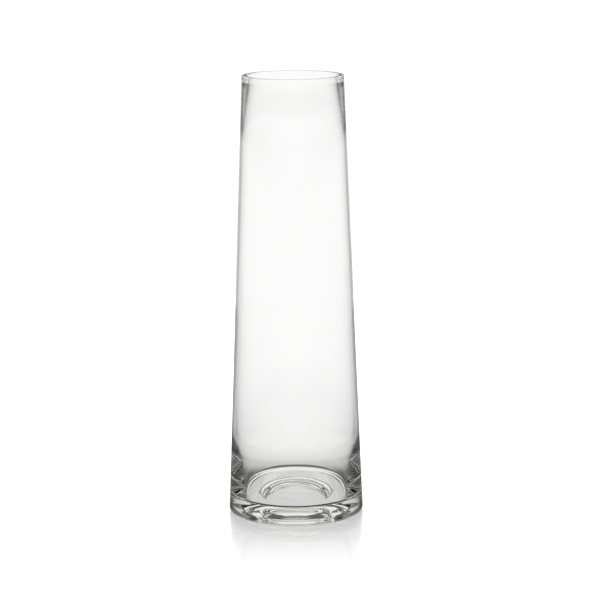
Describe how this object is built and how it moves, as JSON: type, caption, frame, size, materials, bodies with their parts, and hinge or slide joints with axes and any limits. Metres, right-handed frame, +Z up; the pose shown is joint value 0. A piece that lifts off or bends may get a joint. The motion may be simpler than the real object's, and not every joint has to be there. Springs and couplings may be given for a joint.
{
  "type": "tapered glass cylinder vase",
  "caption": "Tall round clear glass vase that tapers evenly from a thick solid base to a narrower flat polished rim.",
  "frame": {"origin": "centre of the circle the vase stands on, at the height of its standing ring", "axes": "+Z up along the axis of revolution, from the base to the rim; +X and +Y are any two horizontal directions"},
  "size_m": [0.101, 0.101, 0.33],
  "materials": {
    "clear_glass": "clear soda-lime glass, fire-polished and smooth all over, faint grey-green tint where it is thick"
  },
  "bodies": {
    "root": {"vase_body": "clear_glass"}
  },
  "joints": []
}
